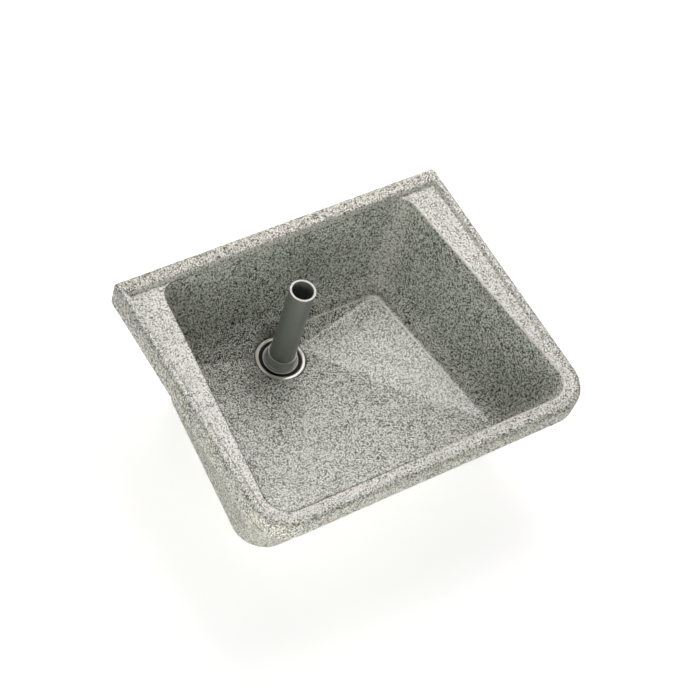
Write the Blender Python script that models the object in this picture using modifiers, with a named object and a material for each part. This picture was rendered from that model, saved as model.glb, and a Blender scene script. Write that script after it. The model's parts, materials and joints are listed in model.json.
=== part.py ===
# Utility sink: a cast stone basin with a lift-out standpipe in its drain.
# Metres, +Z up. The origin is on the floor under the middle of the rim, and the front faces -Y.
import math

import bmesh
import bpy
from mathutils import Vector

# Fit between pieces that touch
GAP = 0.0003

# Rim, lip and skirt
RIM_LENGTH = 0.600
RIM_DEPTH = 0.485
LIP_HEIGHT = 0.010
LIP_WIDTH = 0.012
LIP_FOOT = 0.004
LEDGE_DEPTH = 0.026
FRONT_BAND = 0.026
SKIRT_DROP = 0.038
SKIRT_WALL = 0.010
DECK_WALL = 0.016
RIM_EDGE_RADIUS = 0.006
SKIRT_EDGE_RADIUS = 0.002
FRONT_CORNER_RADIUS = 0.060
BACK_CORNER_RADIUS = 0.006
SKIRT_LEAN = 0.001

# Bowl, measured down from the deck
MOUTH_BACK_WIDTH = 0.461
MOUTH_FRONT_WIDTH = 0.553
MOUTH_BACK_RADIUS = 0.027
MOUTH_FRONT_RADIUS = 0.038
MOUTH_EDGE_RADIUS = 0.004
FLOOR_CORNER_RADIUS = 0.040
BACK_EDGE_DEPTH = 0.181
FRONT_EDGE_DEPTH = 0.171
SUMP_DEPTH = 0.2055
COVE_RADIUS = 0.046
COVE_START_ANGLE = 20
SUMP_CORNER_RADIUS = 0.002
side_slope_share = 0.168
back_slope_share = 0.18
front_slope_share = 0.29
SUMP_RIGHT = 0.046
SUMP_LEFT = 0.020
SUMP_HALF_DEPTH = 0.008

# Body and foot of the basin
BODY_WALL = 0.012
FLOOR_WALL = 0.014
FOOT_WIDTH = 0.020
FOOT_EDGE_RADIUS = 0.002
BOSS_WALL = 0.010
BOSS_MARGIN = 0.0015

# Drain, placed from the back edge and the middle of the rim
DRAIN_FROM_BACK = 0.117
DRAIN_LEFT_OF_MIDDLE = 0.0208
FLANGE_RADIUS = 0.0418
FLANGE_RIM = 0.0055
FLANGE_RISE = 0.0015
LEDGE_WALL = 0.0025
FLANGE_EDGE = 0.0008
FLANGE_MARGIN = 0.0017
DISH_RISE = 0.0405
DISH_RUN = 0.010
DISH_DROP = 0.001
GASKET = 0.0020
TAIL_RADIUS = 0.0335
TAIL_WALL = 0.003
HOLE_MARGIN = 0.0015
TAIL_BELOW_NUT = 0.003
TAIL_ABOVE_GROUND = 0.0018
WASHER = 0.0025
SLIP_WASHER = 0.0012
NUT_HEIGHT = 0.011
NUT_RADIUS = 0.0395
NUT_LUG = 0.0025
NUT_LUG_WIDTH = 0.012
NUT_LUGS = 8

# Standpipe
PIPE_RADIUS = 0.0213
PIPE_WALL = 0.0036
PIPE_EDGE = 0.0004
OVERFLOW_DROP = 0.0115
SOCKET_HEIGHT = 0.019
SOCKET_BELOW_FLANGE = 0.002
SOCKET_WALL = 0.0026
SOCKET_FLARE = 0.0012
DISC_RADIUS = 0.030
DISC_DROP = 0.0005
DISC_WALL = 0.0026
DISC_EDGE = 0.0008
SOCKET_FILLET = 0.0015
SEAL_WALL = 0.0028
SEAL_MARGIN = 0.0004
NECK_DEPTH = 0.003
KEEPER_WALL = 0.0025
KEEPER_MARGIN = 0.0007
GUIDE_LENGTH = 0.009
GUIDE_TAPER = 0.003

# Counts
CORNER_STEPS = 6
COVE_STEPS = 6
EDGE_STEPS = 3
ROUND_STEPS = 48

# Edges steeper than this, in degrees, stay sharp
SHARP_ANGLE = 30

# Heights above the ground, from the foot up
nut_bottom = TAIL_ABOVE_GROUND + TAIL_BELOW_NUT
nut_top = nut_bottom + NUT_HEIGHT
slip_bottom = nut_top + GAP
washer_bottom = slip_bottom + SLIP_WASHER + GAP
boss_height = washer_bottom + WASHER + GAP
seat_height = boss_height + BOSS_WALL
gasket_bottom = seat_height + GAP
flange_bottom = gasket_bottom + GASKET + GAP
ledge_height = flange_bottom + LEDGE_WALL
seal_bottom = ledge_height + GAP
disc_bottom = seal_bottom + SEAL_WALL + GAP
disc_top = disc_bottom + DISC_WALL
flange_top = disc_top + DISC_DROP
sump_height = flange_top - FLANGE_RISE
deck_height = sump_height + SUMP_DEPTH
pipe_top = deck_height - OVERFLOW_DROP
pipe_bottom = flange_top - SOCKET_BELOW_FLANGE

# Radii of the drain, from its middle out
mouth_radius = FLANGE_RADIUS - FLANGE_RIM
tail_bore = TAIL_RADIUS - TAIL_WALL
pocket_radius = FLANGE_RADIUS + FLANGE_MARGIN
hole_radius = TAIL_RADIUS + HOLE_MARGIN
boss_radius = NUT_RADIUS + NUT_LUG + BOSS_MARGIN
keeper_radius = tail_bore - KEEPER_MARGIN
neck_radius = DISC_RADIUS - NECK_DEPTH
pipe_bore = PIPE_RADIUS - PIPE_WALL
socket_bore = PIPE_RADIUS + GAP
socket_radius = socket_bore + SOCKET_WALL

# Places in plan, with the front edge at -half_depth
half_length = RIM_LENGTH / 2
half_depth = RIM_DEPTH / 2
mouth_back = half_depth - LEDGE_DEPTH
mouth_front = FRONT_BAND - half_depth
drain = Vector((-DRAIN_LEFT_OF_MIDDLE, half_depth - DRAIN_FROM_BACK, 0))
lean_angle = math.atan(side_slope_share)
cove_start = math.radians(COVE_START_ANGLE)
cove_end = math.pi / 2 - lean_angle
cove_rise = COVE_RADIUS * (math.cos(cove_start) - math.cos(cove_end))
cove_reach = COVE_RADIUS * (math.sin(cove_end) - math.sin(cove_start)) - cove_rise * side_slope_share


def clear_scene():
    for thing in list(bpy.data.objects):
        bpy.data.objects.remove(thing, do_unlink=True)


def new_collection(name):
    collection = bpy.data.collections.new(name)
    bpy.context.scene.collection.children.link(collection)
    return collection


def new_material(name, color, roughness, metallic=0.0):
    material = bpy.data.materials.new(name)
    material.use_nodes = True
    shader = material.node_tree.nodes["Principled BSDF"]
    shader.inputs["Base Color"].default_value = (*color, 1.0)
    shader.inputs["Roughness"].default_value = roughness
    shader.inputs["Metallic"].default_value = metallic
    return material


def new_object(name, mesh, collection, material=None):
    thing = bpy.data.objects.new(name, mesh)
    collection.objects.link(thing)
    if material:
        mesh.materials.append(material)
    return thing


def as_cutter(thing):
    thing.hide_render = True
    thing.display_type = "WIRE"
    return thing


def add_boolean(thing, other, operation):
    cut = thing.modifiers.new(other.name, "BOOLEAN")
    cut.object = other
    cut.operation = operation
    cut.solver = "EXACT"


def rounded_outline(corners, radii):
    # Corners run anticlockwise from the back right one; each gives the points of its arc.
    points = []
    for index, corner in enumerate(corners):
        to_before = (corners[index - 1] - corner).normalized()
        to_after = (corners[(index + 1) % len(corners)] - corner).normalized()
        half_angle = to_before.angle(to_after) / 2
        radius = radii[index]
        centre = corner + (to_before + to_after).normalized() * radius / math.sin(half_angle)
        start = corner + to_before * radius / math.tan(half_angle) - centre
        first = math.atan2(start.y, start.x)
        sweep = math.pi - 2 * half_angle
        for step in range(CORNER_STEPS + 1):
            angle = first + sweep * step / CORNER_STEPS
            points.append(centre + Vector((math.cos(angle), math.sin(angle))) * radius)
    return points


def at_height(outline, height):
    # The height is a number, or a function of the place from front to back.
    if callable(height):
        return [(point.x, point.y, height(point.y)) for point in outline]
    return [(point.x, point.y, height) for point in outline]


def rim_ring(inset, height, back_inset=None, front_inset=None):
    # A level outline of the rim, drawn in from its outside by the insets.
    back_inset = inset if back_inset is None else back_inset
    front_inset = inset if front_inset is None else front_inset
    x = half_length - inset
    y_back = half_depth - back_inset
    y_front = front_inset - half_depth
    corners = [Vector(place) for place in ((x, y_back), (-x, y_back), (-x, y_front), (x, y_front))]
    back = max(BACK_CORNER_RADIUS - inset, SKIRT_EDGE_RADIUS)
    front = FRONT_CORNER_RADIUS - inset
    return at_height(rounded_outline(corners, (back, back, front, front)), height)


def lip_height_at(y):
    # The lip falls from its full height at the back to the deck at the front.
    return deck_height + LIP_HEIGHT * (y + half_depth) / RIM_DEPTH


def mouth_half_width(y):
    share = (y - mouth_front) / (mouth_back - mouth_front)
    return (MOUTH_FRONT_WIDTH + (MOUTH_BACK_WIDTH - MOUTH_FRONT_WIDTH) * share) / 2


def bowl_outline(back_depth, front_depth, inset, back_line=None):
    # The bowl's wall at a depth below the deck, moved inwards by the inset. The back edge can
    # be set by a line instead.
    y_back = mouth_back - back_slope_share * back_depth - inset
    if back_line is not None:
        y_back = back_line
    y_front = mouth_front + front_slope_share * front_depth + inset
    x_back = mouth_half_width(y_back) - side_slope_share * back_depth - inset
    x_front = mouth_half_width(y_front) - side_slope_share * front_depth - inset
    corners = [
        Vector((x_back, y_back)),
        Vector((-x_back, y_back)),
        Vector((-x_front, y_front)),
        Vector((x_front, y_front)),
    ]
    down = min(back_depth / BACK_EDGE_DEPTH, 1.0)
    back = MOUTH_BACK_RADIUS + (FLOOR_CORNER_RADIUS - MOUTH_BACK_RADIUS) * down - inset
    front = MOUTH_FRONT_RADIUS + (FLOOR_CORNER_RADIUS - MOUTH_FRONT_RADIUS) * down - inset
    back = max(back, SUMP_CORNER_RADIUS)
    front = max(front, SUMP_CORNER_RADIUS)
    return rounded_outline(corners, (back, back, front, front)), y_back, y_front


def bowl_ring(back_depth, front_depth, inset, back_line=None):
    outline, y_back, y_front = bowl_outline(back_depth, front_depth, inset, back_line)

    def height(y):
        share = (y - y_front) / (y_back - y_front)
        return deck_height - front_depth - (back_depth - front_depth) * share

    return at_height(outline, height)


def drain_ring(radius, height):
    corners = [
        drain.xy + Vector((right * radius, back * radius))
        for right, back in ((1, 1), (-1, 1), (-1, -1), (1, -1))
    ]
    return at_height(rounded_outline(corners, [radius - SUMP_CORNER_RADIUS] * len(corners)), height)


def sump_ring():
    # The four slopes of the floor meet at this small level patch round the drain.
    right, left = drain.x + SUMP_RIGHT, drain.x - SUMP_LEFT
    back, front = drain.y + SUMP_HALF_DEPTH, drain.y - SUMP_HALF_DEPTH
    corners = [Vector(place) for place in ((right, back), (left, back), (left, front), (right, front))]
    return at_height(rounded_outline(corners, [SUMP_CORNER_RADIUS] * len(corners)), sump_height)


def bowl_rings():
    rings = [sump_ring()]
    for step in range(COVE_STEPS + 1):
        angle = cove_start + (cove_end - cove_start) * step / COVE_STEPS
        rise = COVE_RADIUS * (math.cos(cove_start) - math.cos(angle))
        run = COVE_RADIUS * (math.sin(angle) - math.sin(cove_start))
        inset = cove_reach - run + rise * side_slope_share
        rings.append(bowl_ring(BACK_EDGE_DEPTH - rise, FRONT_EDGE_DEPTH - rise, inset))
    for step in range(EDGE_STEPS + 1):
        angle = math.pi / 2 * step / EDGE_STEPS
        depth = MOUTH_EDGE_RADIUS * (1 - math.sin(angle))
        inset = -MOUTH_EDGE_RADIUS * (1 - math.cos(angle))
        rings.append(bowl_ring(depth, depth, inset, back_line=mouth_back - back_slope_share * depth - GAP))
    return rings


def rim_rings():
    # From the foot of the lip over the rim and down the skirt.
    rings = [
        rim_ring(LIP_WIDTH + LIP_FOOT, deck_height, back_inset=LEDGE_DEPTH),
        rim_ring(LIP_WIDTH + LIP_FOOT / 2, lambda y: (deck_height + lip_height_at(y)) / 2,
                 back_inset=LEDGE_DEPTH - LIP_FOOT / 4),
        rim_ring(LIP_WIDTH, lip_height_at, back_inset=LEDGE_DEPTH - LIP_FOOT),
    ]
    for step in range(EDGE_STEPS + 1):
        angle = math.pi / 2 * step / EDGE_STEPS
        drop = RIM_EDGE_RADIUS * (1 - math.cos(angle))
        inset = RIM_EDGE_RADIUS * (1 - math.sin(angle))
        rings.append(rim_ring(inset, lambda y, drop=drop: lip_height_at(y) - drop))
    skirt_bottom = deck_height - SKIRT_DROP
    rings.append(rim_ring(SKIRT_LEAN, skirt_bottom + SKIRT_EDGE_RADIUS, back_inset=0))
    rings.append(rim_ring(SKIRT_LEAN + SKIRT_EDGE_RADIUS, skirt_bottom, back_inset=SKIRT_EDGE_RADIUS))
    rings.append(rim_ring(SKIRT_WALL, skirt_bottom))
    rings.append(rim_ring(SKIRT_WALL, deck_height - DECK_WALL))
    return rings


def body_rings():
    # From the underside of the deck down the outside of the bowl, under the foot and up inside it.
    foot_depth = deck_height - FOOT_EDGE_RADIUS
    foot_inset = FOOT_WIDTH - BODY_WALL
    hollow_back = drain.y + boss_radius + BOSS_MARGIN
    return [
        bowl_ring(DECK_WALL, DECK_WALL, -BODY_WALL),
        bowl_ring(foot_depth, foot_depth, -BODY_WALL),
        bowl_ring(deck_height, deck_height, FOOT_EDGE_RADIUS - BODY_WALL),
        bowl_ring(deck_height, deck_height, foot_inset, back_line=hollow_back),
        bowl_ring(BACK_EDGE_DEPTH + FLOOR_WALL, FRONT_EDGE_DEPTH + FLOOR_WALL, cove_reach,
                  back_line=hollow_back - BOSS_MARGIN / 2),
        drain_ring(boss_radius + BOSS_MARGIN / 4, sump_height - FLOOR_WALL),
        drain_ring(boss_radius, boss_height),
    ]


def loft(name, rings, collection, material):
    # Joins like rings one after another and closes the first and the last.
    mesh = bpy.data.meshes.new(name)
    shape = bmesh.new()
    loops = [[shape.verts.new(point) for point in ring] for ring in rings]
    count = len(loops[0])
    for lower, upper in zip(loops, loops[1:]):
        for index in range(count):
            following = (index + 1) % count
            shape.faces.new((lower[index], lower[following], upper[following], upper[index]))
    shape.faces.new(reversed(loops[0]))
    shape.faces.new(loops[-1])
    bmesh.ops.recalc_face_normals(shape, faces=shape.faces)
    shape.to_mesh(mesh)
    shape.free()
    return new_object(name, mesh, collection, material)


def turned(name, profile, collection, material=None, closed=True):
    # Turns a profile of (radius, height) points about the drain's axis. An open profile starts
    # and ends on the axis.
    mesh = bpy.data.meshes.new(name)
    count = len(profile)
    edges = [(index, index + 1) for index in range(count - 1)]
    if closed:
        edges.append((count - 1, 0))
    mesh.from_pydata([(radius, 0, height) for radius, height in profile], edges, [])
    thing = new_object(name, mesh, collection, material)
    thing.location = drain
    screw = thing.modifiers.new("turn", "SCREW")
    screw.steps = ROUND_STEPS
    screw.render_steps = ROUND_STEPS
    screw.use_merge_vertices = True
    screw.merge_threshold = GAP / 10
    screw.use_smooth_shade = True
    return thing


def flat_ring(name, inner, outer, bottom, top, collection, material):
    profile = [(inner, top), (outer, top), (outer, bottom), (inner, bottom)]
    return turned(name, profile, collection, material)


def make_basin(collection, cutters):
    stone = new_material("cast_stone", (0.56, 0.56, 0.52), 0.75)
    basin = loft("basin", bowl_rings() + rim_rings() + body_rings(), collection, stone)
    dish_foot = sump_height - DISH_DROP
    profile = [
        (0, dish_foot + DISH_RISE),
        (pocket_radius + DISH_RUN, dish_foot + DISH_RISE),
        (pocket_radius, dish_foot),
        (pocket_radius, seat_height),
        (hole_radius, seat_height),
        (hole_radius, -boss_height),
        (0, -boss_height),
    ]
    cutter = as_cutter(turned("drain_hole_cutter", profile, cutters, closed=False))
    add_boolean(basin, cutter, "DIFFERENCE")


def make_drain_body(collection):
    ivory = new_material("ivory_plastic", (0.72, 0.66, 0.55), 0.35)
    profile = [
        (mouth_radius + FLANGE_EDGE, flange_top),
        (FLANGE_RADIUS - FLANGE_EDGE, flange_top),
        (FLANGE_RADIUS, flange_top - FLANGE_EDGE),
        (FLANGE_RADIUS, flange_bottom),
        (TAIL_RADIUS, flange_bottom),
        (TAIL_RADIUS, TAIL_ABOVE_GROUND),
        (tail_bore, TAIL_ABOVE_GROUND),
        (tail_bore, ledge_height),
        (mouth_radius, ledge_height),
        (mouth_radius, flange_top - FLANGE_EDGE),
    ]
    turned("drain_body", profile, collection, ivory)


def make_washers(collection):
    rubber = new_material("black_rubber", (0.02, 0.02, 0.02), 0.6)
    fibre = new_material("fibre", (0.45, 0.12, 0.08), 0.8)
    inner = TAIL_RADIUS + GAP
    gasket_top = gasket_bottom + GASKET
    flat_ring("flange_gasket", inner, FLANGE_RADIUS, gasket_bottom, gasket_top, collection, rubber)
    washer_top = washer_bottom + WASHER
    flat_ring("lower_washer", inner, NUT_RADIUS, washer_bottom, washer_top, collection, rubber)
    slip_top = slip_bottom + SLIP_WASHER
    flat_ring("slip_washer", inner, NUT_RADIUS, slip_bottom, slip_top, collection, fibre)


def make_lock_nut(collection, cutters):
    grey = new_material("nut_plastic", (0.24, 0.25, 0.24), 0.5)
    inner = TAIL_RADIUS + GAP
    nut = flat_ring("lock_nut", inner, NUT_RADIUS, nut_bottom, nut_top, collection, grey)
    reach = NUT_RADIUS + NUT_LUG
    root = (inner + NUT_RADIUS) / 2
    for index in range(NUT_LUGS):
        angle = 2 * math.pi * index / NUT_LUGS
        mesh = bpy.data.meshes.new("nut_lug")
        shape = bmesh.new()
        bmesh.ops.create_cube(shape, size=1)
        bmesh.ops.scale(shape, vec=(reach - root, NUT_LUG_WIDTH, NUT_HEIGHT - 2 * GAP), verts=shape.verts)
        shape.to_mesh(mesh)
        shape.free()
        lug = as_cutter(new_object(f"nut_lug_{index + 1}", mesh, cutters))
        middle = (reach + root) / 2
        lug.location = drain + Vector((math.cos(angle) * middle, math.sin(angle) * middle,
                                       (nut_bottom + nut_top) / 2))
        lug.rotation_euler.z = angle
        add_boolean(nut, lug, "UNION")


def make_plug(collection):
    grey = new_material("grey_plastic", (0.10, 0.11, 0.10), 0.4)
    socket_top = flange_top + SOCKET_HEIGHT
    guide_bottom = ledge_height - KEEPER_WALL - GUIDE_LENGTH
    profile = [
        (socket_radius, socket_top),
        (socket_radius + SOCKET_FLARE, disc_top + SOCKET_FILLET),
        (socket_radius + SOCKET_FLARE + SOCKET_FILLET, disc_top),
        (DISC_RADIUS - DISC_EDGE, disc_top),
        (DISC_RADIUS, disc_top - DISC_EDGE),
        (DISC_RADIUS, disc_bottom),
        (neck_radius, disc_bottom),
        (neck_radius, ledge_height),
        (keeper_radius, ledge_height),
        (keeper_radius, ledge_height - KEEPER_WALL),
        (neck_radius, ledge_height - KEEPER_WALL),
        (neck_radius - GUIDE_TAPER, guide_bottom),
        (pipe_bore, guide_bottom),
        (pipe_bore, pipe_bottom - GAP),
        (socket_bore, pipe_bottom - GAP),
        (socket_bore, socket_top),
    ]
    turned("standpipe_plug", profile, collection, grey)


def make_seal(collection):
    rubber = new_material("seal_rubber", (0.015, 0.015, 0.015), 0.45)
    inner = neck_radius + GAP
    outer = mouth_radius - SEAL_MARGIN
    flat_ring("plug_seal", inner, outer, seal_bottom, seal_bottom + SEAL_WALL, collection, rubber)


def make_pipe(collection):
    grey = new_material("pipe_plastic", (0.10, 0.11, 0.10), 0.45)
    profile = [
        (pipe_bore + PIPE_EDGE, pipe_top),
        (PIPE_RADIUS - PIPE_EDGE, pipe_top),
        (PIPE_RADIUS, pipe_top - PIPE_EDGE),
        (PIPE_RADIUS, pipe_bottom),
        (pipe_bore, pipe_bottom),
        (pipe_bore, pipe_top - PIPE_EDGE),
    ]
    turned("standpipe_tube", profile, collection, grey)


def finish(things):
    # Each piece keeps its modifiers' result as its own mesh, so that its edges can be kept sharp.
    depsgraph = bpy.context.evaluated_depsgraph_get()
    meshes = [bpy.data.meshes.new_from_object(thing.evaluated_get(depsgraph)) for thing in things]
    for thing, mesh in zip(things, meshes):
        thing.modifiers.clear()
        thing.data = mesh
        mesh.shade_smooth()
        mesh.set_sharp_from_angle(angle=math.radians(SHARP_ANGLE))


clear_scene()
sink = new_collection("utility_sink")
cutters = new_collection("cutters")
make_basin(sink, cutters)
make_drain_body(sink)
make_washers(sink)
make_lock_nut(sink, cutters)
make_plug(sink)
make_seal(sink)
make_pipe(sink)
finish(sink.objects)
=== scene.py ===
import json
import math

import bmesh
import bpy
from mathutils import Matrix, Vector, noise


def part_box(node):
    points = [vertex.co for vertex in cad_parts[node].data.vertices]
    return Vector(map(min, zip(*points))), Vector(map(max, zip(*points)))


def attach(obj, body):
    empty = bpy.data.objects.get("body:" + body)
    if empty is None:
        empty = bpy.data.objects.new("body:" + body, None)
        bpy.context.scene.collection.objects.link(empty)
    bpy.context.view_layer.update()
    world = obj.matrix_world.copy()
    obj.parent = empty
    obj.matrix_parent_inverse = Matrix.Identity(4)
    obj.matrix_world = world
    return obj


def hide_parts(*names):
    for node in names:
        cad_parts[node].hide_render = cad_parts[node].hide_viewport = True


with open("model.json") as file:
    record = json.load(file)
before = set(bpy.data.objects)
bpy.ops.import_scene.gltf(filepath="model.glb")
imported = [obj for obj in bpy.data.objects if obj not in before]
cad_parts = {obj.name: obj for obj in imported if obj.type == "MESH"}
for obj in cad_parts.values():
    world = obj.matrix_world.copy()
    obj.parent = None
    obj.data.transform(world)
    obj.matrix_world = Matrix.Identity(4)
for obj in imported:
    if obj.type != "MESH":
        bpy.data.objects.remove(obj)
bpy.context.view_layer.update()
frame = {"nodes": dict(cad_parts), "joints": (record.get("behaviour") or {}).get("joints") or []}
print("frame loaded:", ", ".join(sorted(frame["nodes"])))

# What the pieces are measured from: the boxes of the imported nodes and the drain's axis
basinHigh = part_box("basin")[1]
flangeLow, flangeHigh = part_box("drain_body")
nutLow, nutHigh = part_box("lock_nut")
plugLow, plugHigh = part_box("standpipe_plug")
pipeLow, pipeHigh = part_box("standpipe_tube")
turning = next(joint for joint in frame["joints"] if joint["name"] == "standpipe_turn")
drain = Vector((turning["pos_m"][0], turning["pos_m"][1], 0))
gap = 0.0003  # kept between neighbouring pieces
sharpAngle = math.radians(48)  # edges sharper than this stay sharp in the shading
markNames = ("dense", "worn", "groove", "ridge")  # what each point of the basin tells its finish: grain share, wear with painted sheen, grime with painted shade, the ridge's painted highlight


# Shader helpers
def addNode(tree, kind, **settings):
    node = tree.nodes.new("ShaderNode" + kind)
    for name, value in settings.items():
        setattr(node, name, value)
    return node


def feed(tree, target, source):
    # a socket gets a link, anything else becomes the value
    if isinstance(source, bpy.types.NodeSocket):
        tree.links.new(source, target)
    else:
        target.default_value = source


def maths(tree, operation, first, second=0.0, clamp=False):
    node = addNode(tree, "Math", operation=operation, use_clamp=clamp)
    feed(tree, node.inputs[0], first)
    feed(tree, node.inputs[1], second)
    return node.outputs[0]


def blend(tree, factor, first, second, mode="MIX"):
    node = addNode(tree, "Mix", data_type="RGBA", blend_type=mode)
    feed(tree, node.inputs["Factor"], factor)
    for socket, colour in ((node.inputs[6], first), (node.inputs[7], second)):
        feed(tree, socket, (*colour, 1) if isinstance(colour, tuple) else colour)
    return node.outputs[2]


def ramp(tree, value, low, high, start=0.0, end=1.0):
    node = addNode(tree, "MapRange", interpolation_type="SMOOTHSTEP")
    for socket, source in zip(node.inputs[:5], (value, low, high, start, end)):
        feed(tree, socket, source)
    return node.outputs[0]


def noiseField(tree, vector, scale, detail=2.0, roughness=0.5):
    node = addNode(tree, "TexNoise")
    feed(tree, node.inputs["Vector"], vector)
    feed(tree, node.inputs["Scale"], scale)
    feed(tree, node.inputs["Detail"], detail)
    feed(tree, node.inputs["Roughness"], roughness)
    return node.outputs["Fac"]


def scaled(tree, vector, factor):
    node = addNode(tree, "VectorMath", operation="SCALE")
    feed(tree, node.inputs[0], vector)
    feed(tree, node.inputs["Scale"], factor)
    return node.outputs[0]


def stretched(tree, vector, factors):
    node = addNode(tree, "VectorMath", operation="MULTIPLY")
    feed(tree, node.inputs[0], vector)
    feed(tree, node.inputs[1], factors)
    return node.outputs[0]


def newGroup(name, inputs, outputs):
    # inputs are (name, kind, value) and outputs (name, kind)
    tree = bpy.data.node_groups.new(name, "ShaderNodeTree")
    for label, kind, value in inputs:
        socket = tree.interface.new_socket(name=label, in_out="INPUT", socket_type="NodeSocket" + kind)
        if value is not None:
            socket.default_value = value
    for label, kind in outputs:
        tree.interface.new_socket(name=label, in_out="OUTPUT", socket_type="NodeSocket" + kind)
    return tree, tree.nodes.new("NodeGroupInput").outputs, tree.nodes.new("NodeGroupOutput").inputs


def placeGroup(tree, group, **values):
    # an input's name is written here with underscores for its spaces
    node = tree.nodes.new("ShaderNodeGroup")
    node.node_tree = group
    for name, value in values.items():
        socket = node.inputs[name.replace("_", " ")]
        colour = socket.type == "RGBA" and isinstance(value, tuple)
        feed(tree, socket, (*value, 1) if colour else value)
    return node.outputs


def newMaterial(name, **constants):
    # constants are fixed values of the shader's own sockets, named with underscores
    material = bpy.data.materials.new(name)
    material.use_nodes = True
    tree = material.node_tree
    shader = tree.nodes["Principled BSDF"]
    for label, value in constants.items():
        shader.inputs[label.replace("_", " ")].default_value = value
    place = addNode(tree, "TexCoord").outputs["Object"]
    return material, tree, shader, place


def distanceFrom(tree, vector, point):
    node = addNode(tree, "VectorMath", operation="DISTANCE")
    feed(tree, node.inputs[0], vector)
    feed(tree, node.inputs[1], point)
    return node.outputs["Value"]


def coverWith(tree, shader, colour, roughness, height, strength, distance=0.0002):
    # colour and roughness go in as they are, the height as a bump
    tree.links.new(colour, shader.inputs["Base Color"])
    tree.links.new(roughness, shader.inputs["Roughness"])
    bump = addNode(tree, "Bump")
    feed(tree, bump.inputs["Strength"], strength)
    feed(tree, bump.inputs["Distance"], distance)
    feed(tree, bump.inputs["Height"], height)
    tree.links.new(bump.outputs["Normal"], shader.inputs["Normal"])


stoneLook = {
    "grainSize": 0.00128,
    "grainDrawn": (1.0, 1.0, 0.7),
    "evenness": 0.15,  # 0 lets the grains lie at random, 1 sets them in a grid
    "bend": 0.5,  # how far the grains' outlines wander
    "bendScale": 0.9,
    "paleTones": (0.74, 1.16),
    "darkDepths": (0.8, 1.0),
    "fleckSize": 0.0023,
    "fleckDepth": 0.9,
    "darkOnDeck": 0.245,  # shares of dark grains
    "darkInBowl": 0.345,
    "patchSize": 0.016,
    "patchSpread": 0.08,
    "whiteShare": 0.3,
    "flecksOnDeck": 0.025,
    "flecksInBowl": 0.075,
    "cloudSize": 0.055,
    "cloudSpread": 0.05,
    "ground": (0.80, 0.82, 0.745),
    "dark": (0.006, 0.007, 0.005),
    "white": (0.92, 0.92, 0.87),
    "wearAndHighlightPale": (0.88, 0.87, 0.82),
    "wearAndHighlightShare": 0.8,
    "edgeTan": (0.58, 0.49, 0.37),
    "edgeTanShare": 0.16,
    "darkerAt": (-0.10, 0.15, 0.06),  # the floor is darker round this point
    "darkerReach": (0.03, 0.17),
    "darkerBy": 0.09,
    "ridgeLighten": 0.7,
    "grimeAndShadeColour": (0.10, 0.10, 0.075),
    "grimeAndShadeShare": 0.4,
    "deckLitTint": (1.015, 1.0, 1.02),
    "bowlShadeTint": (0.98, 1.0, 0.985),
    "outsideTint": (1.055, 1.02, 1.0),
    "bowlRoughness": 0.29,
    "outsideRoughness": 0.6,
    "darkSmoother": 0.06,
    "bumpOnDeck": 0.06,
    "bumpInBowl": 0.09,
    "bumpDepth": 0.0003,
}


# Effects that several finishes share
def buildGrainGroup():
    # angular grains of sand in resin: pale ground, dark and white grains at random
    tree, given, result = newGroup(
        "stoneGrain",
        [
            ("Vector", "Vector", None),
            ("Grain Size", "Float", 0.002),
            ("Dark Share", "Float", 0.2),
            ("White Share", "Float", 0.1),
            ("Ground", "Color", (0.6, 0.6, 0.56, 1)),
            ("Dark", "Color", (0.05, 0.05, 0.045, 1)),
            ("White", "Color", (0.85, 0.84, 0.8, 1)),
        ],
        [("Color", "Color"), ("Dark Mask", "Float"), ("Height", "Float")],
    )
    perMetre = maths(tree, "DIVIDE", 1.0, given["Grain Size"])
    place = scaled(tree, given["Vector"], perMetre)
    wander = addNode(tree, "TexNoise")
    feed(tree, wander.inputs["Vector"], place)
    wander.inputs["Scale"].default_value = stoneLook["bendScale"]
    wander.inputs["Detail"].default_value = 1.0
    bent = addNode(tree, "VectorMath", operation="ADD")
    tree.links.new(place, bent.inputs[0])
    tree.links.new(scaled(tree, wander.outputs["Color"], stoneLook["bend"]), bent.inputs[1])
    cells = addNode(tree, "TexVoronoi", feature="F1")
    tree.links.new(bent.outputs[0], cells.inputs["Vector"])
    cells.inputs["Scale"].default_value = 1.0
    cells.inputs["Randomness"].default_value = 1 - stoneLook["evenness"]
    chance = addNode(tree, "SeparateColor")
    tree.links.new(cells.outputs["Color"], chance.inputs[0])
    isDark = maths(tree, "LESS_THAN", chance.outputs[0], given["Dark Share"])
    whiteFrom = maths(tree, "SUBTRACT", 1.0, given["White Share"])
    isWhite = maths(tree, "GREATER_THAN", chance.outputs[0], whiteFrom)
    tone = ramp(tree, chance.outputs[1], 0.0, 1.0, *stoneLook["paleTones"])
    ground = blend(tree, 1.0, given["Ground"], tone, "MULTIPLY")
    pale = blend(tree, isWhite, ground, given["White"])
    depth = ramp(tree, chance.outputs[2], 0.0, 1.0, *stoneLook["darkDepths"])
    tree.links.new(blend(tree, maths(tree, "MULTIPLY", isDark, depth), pale, given["Dark"]), result["Color"])
    tree.links.new(isDark, result["Dark Mask"])
    # pale grains stand a little proud by their tone, and dark ones lie lower
    lift = maths(tree, "MULTIPLY", chance.outputs[1], 0.4)
    tree.links.new(maths(tree, "SUBTRACT", lift, maths(tree, "MULTIPLY", isDark, 0.5)), result["Height"])
    return tree


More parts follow.
